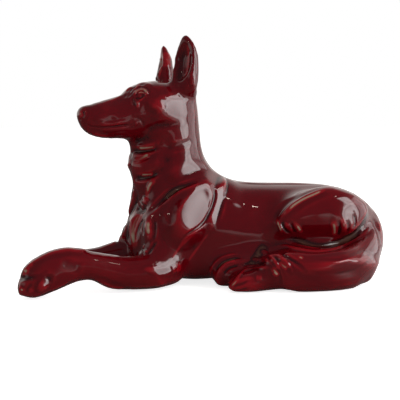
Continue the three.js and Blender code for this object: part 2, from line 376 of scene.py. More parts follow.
def calm(u, v, radius, rounds, mirror=None):  # smooths the clay around a pixel
    place = onClay(u, v)[0]
    places = [place] + ([reflect(place[None], mirror)[0][0]] if mirror else [])
    for middle in places:
        gap = np.linalg.norm(clay.points - middle, axis=1) / radius
        inside = gap < 1.1
        kept = clay.edges[inside[clay.edges].all(axis=1)]
        index = np.cumsum(inside) - 1
        a, b = index[kept].T
        points = clay.points[inside]
        counts = np.maximum(np.bincount(a, minlength=len(points)) + np.bincount(b, minlength=len(points)), 1)
        weight = 0.5 * np.clip(2 * (1 - gap[inside]), 0, 1)[:, None]
        for _ in range(rounds):
            points += weight * (sumsAround(a, b, points) / counts[:, None] - points)
        clay.points[inside] = points


def outlineFrom(u, v, outward, reach):  # how far out from a pixel the clay's outline lies, and the clay there
    def touch(out):
        hit, place, _, _ = clay.piece.ray_cast(*pixelRay(u + outward[0] * out, v + outward[1] * out))
        return place if hit else None
    far, near = reach, None
    for out in np.arange(reach - 0.5, -reach - 0.1, -0.5):
        if touch(out) is not None:
            near = out
            break
        far = out
    if near is None or far == reach:
        return None
    for _ in range(3):
        middle = (far + near) / 2
        if touch(middle) is None:
            far = middle
        else:
            near = middle
    return near, np.array(touch(near)) / mm


# Brings the clay's outline to a line beside it, and outset pixels past the line
def trim(pixels, radius, rounds, outset=0.4, reach=7.0, step=3):
    turn = np.array(eye.matrix_world.to_3x3())
    path = smoothPath(pixels, step=step)
    ways = np.gradient(path, axis=0)
    ways /= np.linalg.norm(ways, axis=1)[:, None]
    for _ in range(rounds):
        total = np.zeros((len(clay.points), 3))
        sums = np.zeros(len(clay.points))
        for (u, v), (du, dv) in zip(path, ways):
            left = outlineFrom(u, v, (dv, -du), reach)
            found = left or outlineFrom(u, v, (-dv, du), reach)
            if not found:
                continue
            out, place = found
            side = 1 if left else -1
            shift = (outset - out) * side * (turn[:, 0] * dv + turn[:, 1] * du)
            gap = np.linalg.norm(clay.points - place, axis=1) / radius
            near = gap < 1
            share = (1 - gap[near] ** 2) ** 2
            total[near] += share[:, None] * shift
            sums[near] += share
        clay.points += total / np.maximum(sums, 1)[:, None]
        clay.write()


def facingFor(light, place):  # the facing that shows the eye the light from (azimuth, elevation)
    towardsEye = np.array(eye.location) / mm - place
    facing = np.array(towards(*light)) + towardsEye / np.linalg.norm(towardsEye)
    return facing / np.linalg.norm(facing)


# Flattens an oval patch so that it mirrors a light
def plane(u, v, wide, high, light, angle=0.0, strength=1.0, soft=0.5, mirror=None):
    place, _ = onClay(u, v)
    facing = facingFor(light, place)
    turn = np.array(eye.matrix_world.to_3x3())
    lean = math.radians(angle)
    along = turn[:, 0] * math.cos(lean) + turn[:, 1] * math.sin(lean)
    across = turn[:, 1] * math.cos(lean) - turn[:, 0] * math.sin(lean)
    for flip in (None, mirror) if mirror else (None,):
        points, normals = clay.points, clay.normals
        if flip:
            origin, axis = flip
            points = points - 2 * ((points - origin) @ axis)[:, None] * axis
            normals = normals - 2 * (normals @ axis)[:, None] * axis
        reach = points - place
        gap = np.hypot(reach @ along / wide, reach @ across / high)
        depth = reach @ facing
        turned = np.clip((normals @ facing - tools["planeTurn"]) / tools["planeTurn"], 0, 1)
        near = (gap < 1) & (np.abs(depth) < tools["planeDepth"]) & (turned > 0)
        weight = np.clip((1 - gap[near]) / soft, 0, 1)
        weight = strength * weight * weight * (3 - 2 * weight) * turned[near]
        step = (weight * -depth[near])[:, None] * facing
        if flip:
            step = step - 2 * (step @ axis)[:, None] * axis
        clay.points[near] += step


# Outline

outline = {  # pixels along the figure's edge
    "foreheadAndMuzzle": [(155, 81.2), (146, 82.2), (140, 83.4), (133, 86), (126, 89.8), (121, 95),
                          (113, 98), (104, 100.6), (95, 103.4), (86, 106), (81, 107.4), (78.4, 110),
                          (77.4, 113), (77.8, 119), (80, 124.5), (83, 129), (88, 133.2), (95, 136),
                          (103, 137.6), (112, 138), (120, 138.1), (125, 138.7), (128, 140.9), (129.6, 144),
                          (130.2, 147.5), (130.6, 151), (130, 156), (128.4, 161)],
    "throat": [(128.2, 161), (128.2, 166), (130, 171), (131.8, 176), (133, 182), (133, 187), (131.8, 193),
               (131, 200), (129.4, 206), (129, 213), (128.6, 219), (126, 224), (123, 230), (120.5, 236)],
    "forelegTop": [(112, 242.5), (104, 245.4), (95, 248), (88, 249), (80, 248.6), (74, 247.8), (66, 247.6),
                   (58, 248.8), (50, 251), (42, 254.5), (35, 258.4), (29, 262.6), (25, 267), (22, 272),
                   (20, 279), (18.4, 284), (18.2, 291)],
    "forelegBelow": [(41, 296), (50, 292.4), (58, 289.2), (66, 285.6), (76, 281.6), (84, 279.8), (92, 280),
                     (100, 283.6), (107, 287), (115, 288.8), (125, 289), (140, 289), (155, 288), (165, 286),
                     (175, 283)],
    "nape": [(195.8, 96), (196.35, 104), (197.2, 112), (198.1, 120), (198.85, 128), (199.5, 136),
             (200.4, 144), (202.2, 152), (204.5, 158), (208, 164), (213, 169.8), (219.5, 174.6),
             (228, 178.6), (236, 180.8), (250, 182.4), (270, 182.8), (295, 183), (316, 184), (325, 185),
             (335, 187), (345, 190), (352, 193), (358, 196.8), (364.6, 201.6), (370, 206.8), (375.8, 213.6),
             (379.8, 221), (382.2, 230), (383, 238), (382.6, 246), (381, 252), (379.5, 259), (377, 266),
             (374, 274), (370, 280)],
    "nearEar": [(172.6, 68.5), (174.4, 62), (176.6, 54), (178.6, 47.5), (181, 41), (183, 37.4),
                (185.4, 35.8), (188, 36.8), (191, 40), (194, 45), (196.4, 51), (197.8, 58), (198.2, 70),
                (197.8, 79), (196.9, 85), (196.2, 90.5)],
    "farEar": [(155.8, 79), (157.4, 73), (158.8, 66), (160.2, 59), (161.2, 52), (162, 48), (163.6, 46.4),
               (165.4, 47.6), (168, 52), (170.6, 57), (172.4, 63)],
}


smoothed = {  # pixel, radius in millimetres and rounds
    "nearEar": (184, 62, 40, 16),
    "farEar": (164, 66, 34, 30),
    "rump": (352, 196, 24, 60),
    "tailBase": (368, 280, 18, 100),
    "throatTop": (129, 142, 12, 40),
}
earSides = {  # pixel, millimetres to the right and up, and radius
    "base": (176, 78, -3.0, 0, 14),
    "edge": (177, 65, -2.4, 0, 13),
}
earCalm = {
    "nearEarUpper": (179.6, 46, 14, 40),
    "nearEarLower": (177, 58, 14, 40),
    "farEarUpper": (161, 60, 13, 40),
    "farEarLower": (158.6, 73, 13, 40),
    "farEarEdge": (161, 58, 8, 60),
    "farEarBase": (158, 78, 10, 60),
    "nearEar": (184, 62, 40, 8),
    "farEar": (164, 66, 34, 12),
}
earRimCalm = {
    "whole": (191.5, 60, 20, 20),
    "upper": (190.6, 51, 9, 60),
    "lower": (191.6, 65, 9, 40),
}
rumpCalm = {
    "upper": (377, 216, 16, 30),
    "lower": (370, 279, 16, 30),
}


def calmAll(places):
    for values in places.values():
        calm(*values)


def trimEars(radius, rounds=1):  # the ears nearly overlap, so only close to each one's own line
    for name in ("nearEar", "farEar"):
        trim(outline[name], radius=radius, rounds=rounds, reach=3.6, step=1.5)


def trimOutline(rounds=1, ears=False):
    for name, pixels in outline.items():
        if ears or not name.endswith("Ear"):
            trim(pixels, radius=11, rounds=rounds)


def smoothForms():
    trimOutline(rounds=2, ears=True)
    calmAll(smoothed)
    for values in earSides.values():
        pull(*values)
    clay.write()
    for _ in range(2):
        trimEars(radius=9)
        calmAll(earCalm)
        clay.write()
    trimEars(radius=6, rounds=2)
    trimOutline()


# Strokes: each has its pixels, radius and height in millimetres, and what else differs from its group

def model(strokes, mirror=None, **how):
    for pixels, radius, height, *own in strokes.values():
        draw(pixels, radius, height, **{"mirror": mirror, **how, **(own[0] if own else {})})
    clay.write()


# Head

headPlanes = {  # pixel, half width and height, the light mirrored there
    "cheek": dict(u=175, v=108, wide=29, high=20, light=(53, 6), soft=0.7, strength=0.85),
    "cheekBack": dict(u=188, v=131, wide=10, high=13, light=(54, 10), soft=0.7, strength=0.7),
    "earRim": dict(u=193.6, v=63, wide=7, high=28, light=(54, 14), soft=0.6),
    "muzzleSide": dict(u=106, v=119.6, wide=12, high=7, light=(62, -8), soft=1.0, strength=0.5),
}
head = {
    "socket": ([(134, 97), (141, 94.5), (146, 94)], 7.5, -1.6),
    "templeHollow": ([(152, 93), (160, 92), (169, 91)], 8, -0.8),
    "brow": ([(133.4, 90.6), (136.6, 86.4), (140, 83.6), (146, 83.4), (153, 87.5)], 5, 0.9),
    "cheekBone": ([(143, 103.5), (151, 103), (159, 106), (166, 112)], 8, 1.0),
    "underEye": ([(141, 107), (149, 110), (156, 116)], 7, -0.7),
    "stop": ([(123, 96), (128, 95), (131, 96.5)], 5, -0.7),
    "jawLine": ([(142, 131.5), (152, 128), (163, 124.5), (174, 123)], 6, -0.8),
}
face = {
    "ball": ([(139.2, 95.6)], 4.4, 1.3),
    "upperLid": ([(133.6, 95.2), (136.4, 91.2), (140.4, 89.6), (144.4, 90), (146.6, 92.6),
                  (145.8, 95)], 2.1, 1.3, {"fade": 0.15}),
    "lidCrease": ([(132.6, 92.6), (136, 88.6), (141.5, 86.8), (147, 88.6), (149.4, 92.4)], 1.9, -0.7),
    "lidInner": ([(137.6, 93.4), (141.2, 92.2), (144.8, 93.4)], 1.3, 0.5),
    "slit": ([(133.6, 97.2), (137, 98.2), (140.6, 97.8), (143.6, 95.6)], 1.4, -0.9),
    "lowerLid": ([(145.4, 96.6), (142.4, 98.8), (140, 100.6), (137.4, 101.8)], 1.8, 0.25),
    "tearRidge": ([(136.8, 101.4), (138, 104.6), (136.8, 108)], 2.2, 0.9),
    "tearGroove": ([(132.4, 96.8), (133.4, 101.4), (134.6, 107)], 2.6, -1.0),
    "nosePadEdge": ([(86.5, 107), (88.2, 112), (87, 118.5), (84.5, 121.5)], 2.2, -0.25),
    "nostrilWing": ([(84.2, 109.5), (86.3, 113), (85.6, 117.5)], 2.0, 0.3),
    "nostril": ([(82.2, 113.2), (84, 112.2)], 2.0, -0.8),
    "noseSlit": ([(79.6, 117), (80.5, 121)], 1.4, -0.7, {"mirror": None}),
    "upperLip": ([(90, 123.6), (101, 124.4), (112.5, 123.6), (122, 122), (130, 121.4)], 3.2, 0.5),
    "lowerLip": ([(100, 130.6), (113, 129.8), (123, 128.8), (132, 129)], 3.0, 0.5),
    "lipFront": ([(84.5, 123.5), (92, 126.4), (102, 127.2), (113, 126.8)], 1.8, -0.5, {"fade": 0.2}),
    "lipLine": ([(106, 127.2), (114, 126.6), (124, 125.4), (131.5, 125)], 1.9, -1.0),
    "mouthCorner": ([(134.5, 122.8), (137.5, 124.5)], 3.6, 0.7),
    "cornerFold": ([(133.6, 117.6), (139.5, 119.2), (143, 123.4), (142.6, 128)], 2.4, -0.7),
    "cornerArc": ([(131, 115.4), (137, 113.8), (143, 115.6)], 2.4, 0.3),
    "earCrease": ([(178, 92.5), (183, 95.5), (187.5, 93)], 3.4, -0.5),
    "earNick": ([(188, 86), (193.5, 86)], 1.6, -0.4),
    "notch": ([(164, 127), (172, 124.4), (181, 124)], 4, -0.5),
    "farBrow": ([(125.5, 92), (128.5, 88.6), (133, 86.4)], 3.2, 0.9, {"mirror": None}),
    "farBrowCrease": ([(129.5, 93), (132, 89), (137, 85.4)], 2.0, -0.7, {"mirror": None}),
    "earHollow": ([(184.4, 46), (182.4, 55), (180.6, 65), (179, 75),
                   (178.6, 86)], 6.5, -1.5, {"mirror": None}),
    "earHairOne": ([(183.5, 46), (180.5, 60), (178.4, 78)], 1.6, 0.35, {"mirror": None}),
    "earHairTwo": ([(187, 46), (185, 62), (182, 80)], 1.6, 0.35, {"mirror": None}),
}


def modelHead():
    mirror = headMirror()
    for name, values in headPlanes.items():
        plane(**values, mirror=mirror if name != "cheekBack" else None)
    calmAll(earRimCalm)
    clay.write()
    trimEars(radius=6)
    model(head, mirror)
    model(face, mirror)


# Body

joins = {
    "elbow": (176, 262, 24, 400, bodyMirror),
    "armBelow": (177, 243, 18, 120, bodyMirror),
}
bodyPlanes = {
    "neckSide": dict(u=186, v=171, wide=24, high=17, light=(53, 14), soft=0.8, strength=0.85),
    "blade": dict(u=192.5, v=210, wide=29, high=42, angle=-27, light=(53, 12), soft=0.58, strength=0.93),
    "strip": dict(u=217, v=204, wide=8, high=30, angle=-14, light=(55, 14)),
    "elbow": dict(u=159, v=270.6, wide=16, high=5.2, angle=-8, light=(54, 8), soft=0.8, strength=0.9),
}
sidePlanes = {
    "thighBack": dict(u=351, v=219, wide=22, high=19, light=(55, 6), soft=0.8, strength=0.9),
    "tailLow": dict(u=345, v=267, wide=50, high=17, light=(60, -34), soft=0.8),
    "paw": dict(u=45, v=283, wide=6, high=11, angle=-38, light=(54, 8), soft=0.7),
}
neckCalm = {
    "nape": (195, 116, 24, 60),
    "side": (193, 137, 14, 60),
    "earRoot": (191.5, 95, 9, 60),
}


def modelPlanes():
    calmAll(joins)
    clay.write()
    for values in bodyPlanes.values():
        plane(**values, mirror=bodyMirror)
    for values in sidePlanes.values():
        plane(**values)
    calmAll(neckCalm)
    clay.write()


neck = {
    "roll": ([(129, 165), (142, 167), (156, 163), (166, 156)], 9, 1.4),
    "foldUpper": ([(131.5, 150.5), (140, 150.8), (150, 149), (160, 146)], 4.6, -2.4, {"tilt": 0.5}),
    "foldMiddle": ([(133, 160.5), (142, 159), (151, 155)], 3.4, -1.2, {"tilt": 0.3}),
    "foldLower": ([(133, 177.5), (142, 177.5), (152, 175), (160, 170)], 4.6, -2.2, {"tilt": 0.4}),
    "jawShadow": ([(131, 141), (142, 140), (154, 136)], 7, -1.0),
    "sideGroove": ([(166, 132), (167, 150), (164, 168)], 9, -1.2),
    "neckBand": ([(162, 147), (173, 147), (184, 144.6), (194, 140)], 6, -1.0),
    "shoulderGroove": ([(203, 178.5), (190, 183), (176, 189), (163, 199), (152, 209), (145, 216)], 5, -2.2),
}
chest = {
    "ridge": ([(156, 179), (150, 185.5), (146.8, 193)], 4, 1.4),
    "bulge": ([(147, 197), (144, 205)], 6.5, 2.0),
    "hollow": ([(147.5, 206), (141, 211), (136.5, 206)], 5.5, -2.2),
    "tuftLeft": ([(137, 213), (132, 222), (131.6, 233), (134, 244)], 5.4, 1.8),
    "tuftRight": ([(147.5, 214), (140.5, 224), (136, 236), (134.6, 249)], 3.0, -0.8),
    "tuftValley": ([(140.5, 214), (136.4, 222), (134, 230)], 2.2, -0.5),
    "ovalEdge": ([(154, 217), (155.2, 227), (153.4, 238), (149, 243)], 3.2, -1.0),
    "ovalFront": ([(144.8, 218), (142.6, 227), (143.6, 237)], 3.0, -1.2),
    "oval": ([(149, 221), (148, 228), (149.4, 235)], 5.2, 1.5),
    "beadUpper": ([(144, 247)], 3.0, 1.3),
    "beadLower": ([(146, 251.5)], 2.6, 1.0),
    "sideValley": ([(157, 240), (152, 248), (147.5, 255)], 3.0, -1.1),
}
shoulder = {
    "rearCrease": ([(212, 187), (215, 194), (213, 204), (209, 214), (203, 223), (194, 230.5),
                    (184, 236)], 2.8, -1.2, {"fade": 0.15}),
    "rearLine": ([(206, 221), (195, 230.5), (183, 241), (174, 257)], 2.6, 0.5),
    "breastBone": ([(166, 205), (163, 222), (160, 240)], 9, 0.6),
    "elbow": ([(179, 266), (171, 271)], 6.0, 1.0),
}
foreleg = {
    "wristDip": ([(60, 262), (72, 266), (84, 268)], 7, -0.7),
    "toeTop": ([(24.5, 274), (28, 268), (34, 263)], 6, 0.9),
    "toeSide": ([(40, 289), (44.5, 284), (49.5, 278.5)], 6, 0.5),
    "knuckle": ([(26.5, 271)], 4.5, 0.8),
    "toeCrease": ([(19.5, 278.5), (25, 278.4), (31, 277.6), (39, 276.6),
                   (46, 272.5)], 3.4, -1.5),
    "toeLine": ([(35, 287), (38, 282.5), (43, 278), (50, 274)], 3.0, -0.3),
    "toeGap": ([(26, 292.5), (29, 287), (33, 282.5)], 2.6, -0.4),
    "clawUpper": ([(20.5, 288.5)], 3.2, 0.6),
    "clawLower": ([(31, 290.5)], 3.2, 0.5),
}
thigh = {
    "loin": ([(262, 196), (266, 210), (266, 224)], 16, -1.0, {"mirror": bodyMirror}),
    "frontHollow": ([(272, 226), (277, 214), (288, 202), (304, 193)], 7, -1.6),
    "ridge": ([(279, 222), (283, 214), (293, 205), (304, 198), (315, 193),
               (326, 188.5)], 4.2, 1.2, {"fade": 0.35}),
    "ridgeBack": ([(290, 214), (303, 204), (318, 196.5), (332, 192)], 5, -0.6),
    "under": ([(283, 235.5), (296, 240), (311, 244), (327, 245), (342, 241), (354, 234), (364, 223),
               (369, 211)], 5.2, -1.8, {"fade": 0.2}),
    "kneeLine": ([(277, 220.5), (279.6, 226), (282, 232)], 2.6, 1.2),
    "kneeCrease": ([(281.5, 219), (283.5, 225.5), (287, 231.5), (293, 233.5)], 2.6, -1.2),
    "patella": ([(286.2, 225.6)], 4.6, 1.0),
    "padCrease": ([(291, 221.5), (293, 228), (297.5, 234)], 2.4, -0.9),
    "kneePad": ([(296, 226), (300, 231)], 4.6, 0.9),
    "grooveOne": ([(338.5, 219), (340, 227), (338.5, 236)], 2.8, -0.9),
    "grooveTwo": ([(347.5, 219), (349, 227), (347, 234)], 2.8, -0.9),
    "grooveThree": ([(354, 213), (355.5, 222), (353.5, 229)], 2.8, -0.9),
    "lockOne": ([(333, 222), (334.5, 229), (334.5, 236)], 3.2, 0.7),
    "lockTwo": ([(343.6, 220), (344.4, 226), (343.5, 233)], 3.2, 0.7),
}
tail = {
    "ridge": ([(271, 249), (285, 246.4), (298, 249), (311, 251.2), (325, 250.6), (342, 246.4), (360, 237),
               (371, 226)], 3.4, 1.1, {"fade": 0.12}),
    "bump": ([(263, 252)], 5.5, 1.4),
    "tuftOne": ([(266.5, 256), (273, 263), (277.5, 270), (279, 276)], 3.0, -1.3),
    "tuftTwo": ([(272, 254.5), (280, 261), (287, 267.5), (291, 274)], 3.0, -1.3),
    "tuftThree": ([(280, 252), (290, 258.5), (299, 264.5), (306, 271)], 3.0, -1.3),
    "lockOne": ([(269.5, 257), (275, 264.5), (278.5, 272)], 4.2, 2.0),
    "lockTwo": ([(276, 256), (284, 262.5), (290.5, 270)], 4.2, 2.0),
    "tip": ([(273, 272), (277, 276)], 4, 0.8),
    "hairOne": ([(306, 256), (322, 259.5), (340, 259), (358, 252), (372, 241)], 3.0, -0.25),
    "hairTwo": ([(298, 267), (316, 272), (338, 273), (360, 267), (376, 255)], 3.0, -0.25),
    "hairThree": ([(304, 279), (326, 283), (348, 281.5), (366, 274)], 3.0, -0.25),
    "hairFour": ([(318, 264), (334, 265.8), (350, 262), (364, 254)], 3.0, -0.25),
}
hindFoot = {
    "farArcOuter": ([(209.5, 276), (212.5, 267), (220, 259), (231, 255), (243, 254.5)], 2.8, 1.0),
    "farGroove": ([(214.5, 275), (217, 268), (223.5, 262), (233, 258.5), (243, 257.5)], 2.6, -1.4),
    "farArcInner": ([(218.6, 275), (221.5, 268), (228, 262.5), (238, 260.5)], 2.6, 0.9),
    "farGrooveInner": ([(223, 277), (226, 270.5), (232, 266.5), (241, 264.5)], 2.6, -1.4),
    "topGroove": ([(238, 268), (248, 263), (260, 262.5), (271, 264)], 4, -1.4),
}
hindToes = {
    "ridge": ([(229.5, 288.5), (234, 283), (239, 276), (246, 270), (258, 268),
               (271, 268)], 3.0, 1.0, {"fade": 0.1}),
    "toeSplit": ([(229, 286), (236, 285.6), (244, 283), (250, 279)], 2.2, -0.6),
    "toeSplitLow": ([(232, 290.6), (241, 290), (250, 287.5)], 2.2, -0.5),
    "instep": ([(255, 277.5), (263, 278)], 4.2, 0.8),
    "heelCrease": ([(277, 270), (280, 278), (281, 287)], 3.2, -0.5),
    "hock": ([(252, 258.5), (258, 262)], 5, 0.9),
}


fineSpots = {  # pixel and radius of the balls with the finest mesh, on both sides of the head
    "eye": (141, 94, 15),
    "mouth": (128, 124, 22),
    "muzzleEnd": (88, 117, 16),
    "earTop": (187, 50, 20),
    "earMiddle": (183, 75, 22),
}


def fineBalls():
    origin, across = headMirror()
    balls = []
    for u, v, radius in fineSpots.values():
        place = onClay(u, v)[0]
        other = place - 2 * ((place - origin) @ across) * across
        balls += [(*place, radius), (*other, radius)]
    return balls


clay.refineAround(fineBalls())
clay.relax(1)
clay.write()
print("head refined:", len(clay.points), "points")
smoothForms()
print("outline trimmed")
modelHead()
print("head modelled")
modelPlanes()
for strokes, mirror in ((neck, bodyMirror), (chest, bodyMirror), (shoulder, bodyMirror), (foreleg, None),
                        (thigh, None), (tail, None), (hindFoot, None), (hindToes, None)):
    model(strokes, mirror)
print("body modelled")
trimOutline()
calmAll(rumpCalm)
clay.write()


# Glaze tone: painted highlights and painted shade laid on as strokes. Paler, brighter glaze where light
# catches ridges and ledges, darker, olive glaze where shade and reflections fall in the hollows; on the
# ridges and in the hollows it is partly the glaze's own thinning and pooling

thinGlazeAndHighlights = {  # painted highlights, partly real thinning on the ridges: pixels, width in millimetres and how thin
    "thighRidge": ([(286, 214), (293, 206), (304, 199), (315, 194), (325, 189)], 2.4, -1.6),
    "tailLine": ([(285, 246), (300, 249), (315, 251), (330, 250), (346, 246)], 2.2, -0.8),
    "kneeLine": ([(276.4, 218.6), (279, 226), (282, 233)], 1.6, -1.4),
    "kneePad": ([(295, 223), (299, 228), (302, 233)], 2.4, -1.5),
    "thighLockOne": ([(333, 221), (334.5, 229), (334.5, 236)], 3.8, -1.4),
    "thighLockTwo": ([(342.6, 218), (343.4, 223), (343.2, 228)], 3.0, -0.8),
    "tailLockOne": ([(272, 269), (276.4, 273), (279, 276)], 2.8, -1.8),
    "tailLockTwo": ([(279, 262), (284, 266), (288, 268.6)], 2.8, -1.8),
    "tailLockThree": ([(299, 256.6), (303, 258.6)], 2.2, -1.8),
    "farEarTop": ([(165, 51), (166, 60), (167, 68)], 9.0, -0.6),
    "footRidge": ([(230.7, 288.6), (234, 284), (239, 280), (252, 278)], 1.8, -1.0),
    "clawUpper": ([(20.5, 289.6), (24, 290.4)], 2.2, -1.7),
    "toeUpper": ([(25, 269), (26.5, 275)], 4.0, -1.1),
    "farEarRim": ([(162, 52), (161.4, 61), (160.4, 70), (158.6, 79)], 1.7, -1.5),
    "farBrow": ([(123.8, 93.8), (127.5, 89.6), (131.7, 86.3), (135, 85)], 1.8, -1.0),
}
# painted highlights on both sides of the body: throat ledges, chest tufts, arm lines and elbow
thinGlazeAndHighlightsBothSides = {
    "chestTuft": ([(142, 213), (136, 223), (133.4, 234), (135, 248)], 5.5, -1.7),
    "chestOval": ([(148.6, 219), (148, 228), (149, 237)], 3.8, -1.5),
    "chestBulge": ([(153, 180), (149, 186), (147, 194), (147, 202)], 3.2, -1.5),
    "throatUpper": ([(138, 148.4), (147, 148), (156, 146.6)], 2.6, -2.2),
    "throatMiddle": ([(134, 161.4), (142, 158.8), (150, 154.6)], 3.4, -2.0),
    "throatLower": ([(141, 175), (148, 174.6), (154, 173.8)], 2.8, -2.2),
    "armFront": ([(199, 228), (186, 241), (177, 251), (171, 261)], 2.4, -0.7),
    "armRear": ([(210, 231), (202, 242), (194, 253), (187, 263)], 2.0, -0.6),
    "elbow": ([(177, 268), (181, 266)], 6.0, -1.0),
}
# painted highlights on both sides of the head: lids, brow, ear strip and nose pad
thinGlazeAndHighlightsHead = {
    "upperLid": (face["upperLid"][0], 1.9, -1.5),
    "lidInner": (face["lidInner"][0], 1.6, -1.8),
    "lowerLid": (face["lowerLid"][0], 1.6, -0.4),
    "tearRidge": (face["tearRidge"][0], 1.6, -1.1),
    "brow": ([(134, 90), (136.7, 86.3), (139, 83.8)], 1.7, -1.0),
    "earStrip": ([(186.8, 43), (188.3, 50), (188.4, 60), (187.2, 70), (185.5, 78)], 2.6, -0.8),
    "nosePad": ([(80.4, 112), (81.6, 117)], 3.0, -1.3),
}
pooledGlazeAndShade = {  # painted shade and painted reflection, darker and olive along creases, on the glaze's own pooling: pixels, width in millimetres and how thick
    "underThigh": (thigh["under"][0], 6.0, 0.45),
    "tuftRoot": ([(266, 243), (261, 250), (256, 257), (248, 263)], 6.5, 0.7),
    "toeCrease": (foreleg["toeCrease"][0], 4.5, 0.6),
    "earHollow": (face["earHollow"][0], 7.5, 0.2),
    "farHock": (hindFoot["farGroove"][0], 3.0, 0.3),
}


# lays the painted highlights and painted shade into the glaze's tone
for strokes, mirror in ((thinGlazeAndHighlights, None), (thinGlazeAndHighlightsBothSides, bodyMirror), (thinGlazeAndHighlightsHead, headMirror()),
                        (pooledGlazeAndShade, None)):
    model(strokes, mirror, tint=True, fade=0.2)
print("glaze run and gathered")

# The figure stands on the ground
clay.points[:, 2] = np.maximum(clay.points[:, 2], 0)
clay.write()


# Materials

def hexColour(code):
    channels = [int(code[k:k + 2], 16) / 255 for k in (1, 3, 5)]
    return tuple(c / 12.92 if c <= 0.04045 else ((c + 0.055) / 1.055) ** 2.4 for c in channels) + (1.0,)


def addNode(tree, kind, settings=(), inputs=()):  # an input is a value, a socket or a node's first output
    node = tree.nodes.new("ShaderNode" + kind)
    for name, value in dict(settings).items():
        setattr(node, name, value)
    for name, value in dict(inputs).items():
        if isinstance(value, bpy.types.Node):
            value = next(out for out in value.outputs if out.enabled)
        if isinstance(value, bpy.types.NodeSocket):
            tree.links.new(value, node.inputs[name])
        else:
            node.inputs[name].default_value = value
    return node


glaze = {
    "mid": "#510209",  # oxblood at its usual thickness
    "thinAndSheen": "#7c0913",  # brighter red where it has run off a ridge, and painted sheen where light catches
    "paleEdgeAndHighlight": "#8e7a68",  # pale where it hardly covers an edge, and painted highlights
    "thickAndShade": "#2b0407",  # darker where it gathers in a hollow, and painted shade in the creases
    "pooledAndReflection": "#462a20",  # olive deep in a crease: glaze pooling and painted reflection
    "depths": {"thinAndSheen": (-0.02, -0.6), "paleEdgeAndHighlight": (-1.2, -2.2), "thickAndShade": (0.05, 0.6), "pooledAndReflection": (0.6, 1.1)},
    "roughness": 0.045,
    "ior": 1.52,
    "detail": {"mottle": 3.0, "ripple": 1.0, "peel": 0.0},
    "mottle": 38.0,  # millimetres across a cloud of slightly deeper colour
    "mottleDepth": 0.2,
    "ripple": 9.0,  # millimetres between the ripples that the melt leaves
    "rippleHeight": 0.022,
    "peel": 2.2,  # millimetres, drawn coarser than the real orange peel so that it shows
    "peelHeight": 0.0015,
    "bare": "#a89078",  # unglazed foot
    "bareRoughness": 0.85,
}


smoothly = {"interpolation_type": "SMOOTHSTEP"}
inColour = {"data_type": "RGBA"}


# Slip cast, and dipped in a copper-red glaze that flows: it looks wet and deep, and mirrors like glass
def glazedEarthenware():
    material = bpy.data.materials.new("glazed_earthenware")
    material.use_nodes = True
    tree = material.node_tree
    shader = tree.nodes["Principled BSDF"]
    shader.inputs["IOR"].default_value = glaze["ior"]
    place = addNode(tree, "TexCoord").outputs["Object"]
    pool = addNode(tree, "Attribute", {"attribute_name": "pool"}).outputs["Fac"]
    bare = addNode(tree, "Attribute", {"attribute_name": "bare"}).outputs["Fac"]
    noise = {}
    for name, detail in glaze["detail"].items():
        noise[name] = addNode(tree, "TexNoise", (),
                              {"Vector": place, "Scale": 1000 / glaze[name], "Detail": detail})
    depth = addNode(tree, "Math", {"operation": "MULTIPLY_ADD"},
                    {0: noise["mottle"], 1: glaze["mottleDepth"] * 2, 2: -glaze["mottleDepth"]})
    thickAndShade = addNode(tree, "Math", {"operation": "ADD"}, {0: pool, 1: depth})
    # the glaze's tone: paler and brighter on ridges and painted highlights, darker and olive in hollows and
    # painted shade
    colour = hexColour(glaze["mid"])
    for name, (start, end) in glaze["depths"].items():
        share = addNode(tree, "MapRange", smoothly, {"Value": thickAndShade, "From Min": start, "From Max": end})
        colour = addNode(tree, "Mix", inColour, {0: share, 6: colour, 7: hexColour(glaze[name])})
    colour = addNode(tree, "Mix", inColour, {0: bare, 6: colour, 7: hexColour(glaze["bare"])})
    rough = addNode(tree, "MapRange", (),
                    {"Value": bare, "To Min": glaze["roughness"], "To Max": glaze["bareRoughness"]})
    wave = addNode(tree, "Bump", (),
                   {"Height": noise["ripple"], "Distance": glaze["rippleHeight"] * mm, "Strength": 1.0})
    skinBump = addNode(tree, "Bump", (), {"Height": noise["peel"], "Distance": glaze["peelHeight"] * mm,
                                          "Strength": 1.0, "Normal": wave})
    tree.links.new(colour.outputs[2], shader.inputs["Base Color"])
    tree.links.new(rough.outputs[0], shader.inputs["Roughness"])
    tree.links.new(skinBump.outputs[0], shader.inputs["Normal"])
    return material


glazeMaterial = glazedEarthenware()


# Pieces: the skin parted again into its castings, each with its clay wall

piece = {
    "walls": {"trunk": 6.0, "head_and_neck": 5.0, "left_ear": 1.2, "right_ear": 1.2},
    "otherWall": 2.2,
    "innerShare": 0.12,  # how much of its mesh the unseen inner wall keeps
    "footHeight": 0.35,  # the glaze is wiped off this far up
    "footFacing": -0.5,  # where the clay faces down at least this much
    "holeRim": 1.0,  # left standing round the pour hole
}
hollowScales = {8: 0.8, 60: 2.8}  # rounds of smoothing, and the millimetres it moves a deep hollow


def glazeDepthAndLightOf(clay):  # above 0 in a hollow, below 0 on a ridge: glaze pooling and thinning, which also paints shade into the hollows and highlights onto the ridges; the painted strokes are added
    total = np.zeros(len(clay.points))
    flat = clay.points.copy()
    done = 0
    for rounds, depth in hollowScales.items():
        for _ in range(rounds - done):
            flat += 0.5 * (clay.around(flat) - flat)
        done = rounds
        total += ((flat - clay.points) * clay.normals).sum(axis=1) / depth
    return np.clip(total, -1, 1) + clay.tint


def addValues(mesh, name, values, kind="FLOAT", field="value"):
    mesh.attributes.new(name, kind, "POINT").data.foreach_set(field, np.ascontiguousarray(values).ravel())


